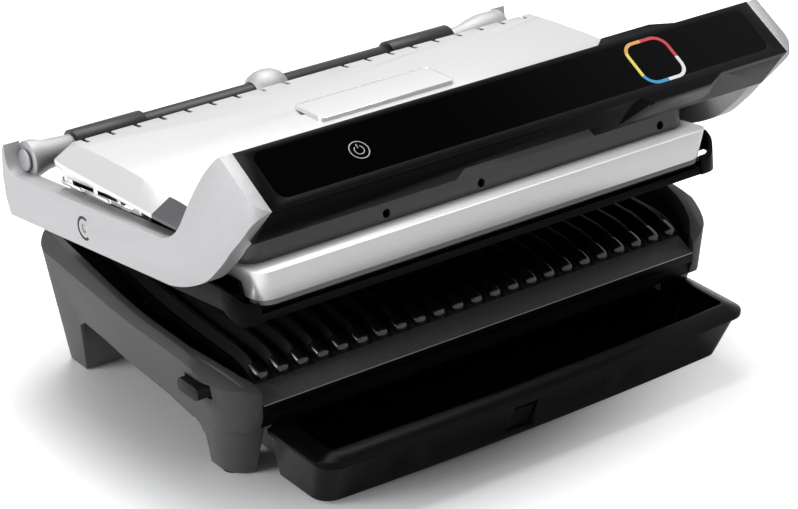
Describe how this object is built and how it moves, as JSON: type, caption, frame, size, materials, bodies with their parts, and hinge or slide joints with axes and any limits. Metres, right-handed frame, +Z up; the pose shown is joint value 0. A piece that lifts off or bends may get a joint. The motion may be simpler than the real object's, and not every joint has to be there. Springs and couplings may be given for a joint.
{
  "type": "electric grill",
  "caption": "Contact grill with a half raised lid: ribbed plates, floating upper unit on cast arms, bar handle with buttons and light ring, and a sliding drip tray.",
  "frame": {"origin": "on the table under the middle of the whole grill", "axes": "+Z up, -Y towards the user (handle and drip tray), +X to the user's right"},
  "size_m": [0.4836, 0.3691, 0.2742],
  "materials": {
    "housing_dark": "dark grey moulded plastic with a fine texture",
    "cover_plastic": "black moulded plastic",
    "rubber_black": "soft black rubber",
    "plate_coating": "black non-stick coating on the cast cooking plate",
    "bright_sheet": "bright sheet metal",
    "heater_tube": "steel heating tube darkened by heat",
    "circuit_board": "green circuit board",
    "terminal_white": "white terminal block",
    "screw_steel": "zinc plated steel",
    "shaft_steel": "ground steel",
    "arm_silver": "silver cast arm with a sandblasted grain",
    "knuckle_black": "black satin plastic",
    "cover_steel": "satin brushed stainless steel",
    "band_steel": "bright stainless steel",
    "flange_grey": "grey grained paint",
    "bezel_dark": "dark reflective plastic",
    "handle_black": "dark grey fine-textured plastic",
    "inlay_gloss": "glossy black panel",
    "ring_light": "translucent light ring in five colours",
    "tray_black": "black satin plastic",
    "spring_steel": "spring wire"
  },
  "bodies": {
    "base": {"base_shell": "housing_dark", "bottom_cover": "cover_plastic", "front_leg_right": "housing_dark", "front_leg_left": "housing_dark", "foot_pads": "rubber_black", "lower_plate": "plate_coating", "lower_reflector": "bright_sheet", "lower_element": "heater_tube", "lower_clips": "bright_sheet", "lower_sensor": "bright_sheet", "power_board": "circuit_board", "terminal_block": "terminal_white", "cord_gland": "cover_plastic", "base_screws": "screw_steel", "hinge_post_right": "knuckle_black", "hinge_post_left": "knuckle_black", "tray_rail_left": "cover_plastic", "tray_rail_right": "cover_plastic", "lower_release_spring": "spring_steel"},
    "tray": {"drip_tray": "tray_black"},
    "lower_release": {"lower_release_button": "cover_plastic", "lower_latch": "cover_plastic"},
    "lid": {"arm_right": "arm_silver", "arm_left": "arm_silver", "hinge_rod": "shaft_steel", "rod_cover": "knuckle_black", "rod_dome": "arm_silver", "hinge_cone_right": "arm_silver", "hinge_cone_left": "arm_silver", "handle_body": "handle_black", "handle_inlay": "inlay_gloss", "light_ring": "ring_light", "handle_cover_right": "cover_plastic", "handle_cover_left": "cover_plastic", "control_board": "circuit_board", "power_switch_board": "circuit_board", "pivot_pin_right": "shaft_steel", "pivot_pin_left": "shaft_steel"},
    "mode_button": {"mode_button": "inlay_gloss"},
    "power_button": {"power_button": "inlay_gloss"},
    "upper_unit": {"upper_cover": "cover_steel", "cover_plate": "band_steel", "upper_frame": "bezel_dark", "upper_band": "band_steel", "upper_flange": "flange_grey", "upper_plate": "plate_coating", "upper_reflector": "bright_sheet", "upper_element": "heater_tube", "upper_clips": "bright_sheet", "upper_sensor": "bright_sheet", "side_rail_right": "bright_sheet", "side_rail_left": "bright_sheet", "pivot_bush_right": "cover_plastic", "pivot_bush_left": "cover_plastic"}
  },
  "joints": [
    {"name": "lid_hinge", "type": "hinge", "parent": "base", "child": "lid", "pos_m": [0, 0.1677, 0.1618], "axis": [-1, 0, 0], "range_deg": [-10.5, 80]},
    {"name": "plate_float", "type": "hinge", "parent": "lid", "child": "upper_unit", "pos_m": [0, 0.06278, 0.14888], "axis": [-1, 0, 0], "range_deg": [0, 1.5]},
    {"name": "tray_slide", "type": "slide", "parent": "base", "child": "tray", "axis": [0, -1, 0], "range_m": [0, 0.12]},
    {"name": "lower_release_press", "type": "slide", "parent": "base", "child": "lower_release", "axis": [1, 0, 0], "range_m": [0, 0.0035], "stiffness_N_per_m": 500, "springref_m": -0.002, "deforming": ["lower_release_spring"]},
    {"name": "power_press", "type": "slide", "parent": "lid", "child": "power_button", "axis": [0, 0.4818, -0.8763], "range_m": [0, 0.001], "stiffness_N_per_m": 800, "springref_m": -0.0008},
    {"name": "mode_press", "type": "slide", "parent": "lid", "child": "mode_button", "axis": [0, 0.4818, -0.8763], "range_m": [0, 0.001], "stiffness_N_per_m": 800, "springref_m": -0.0008}
  ]
}
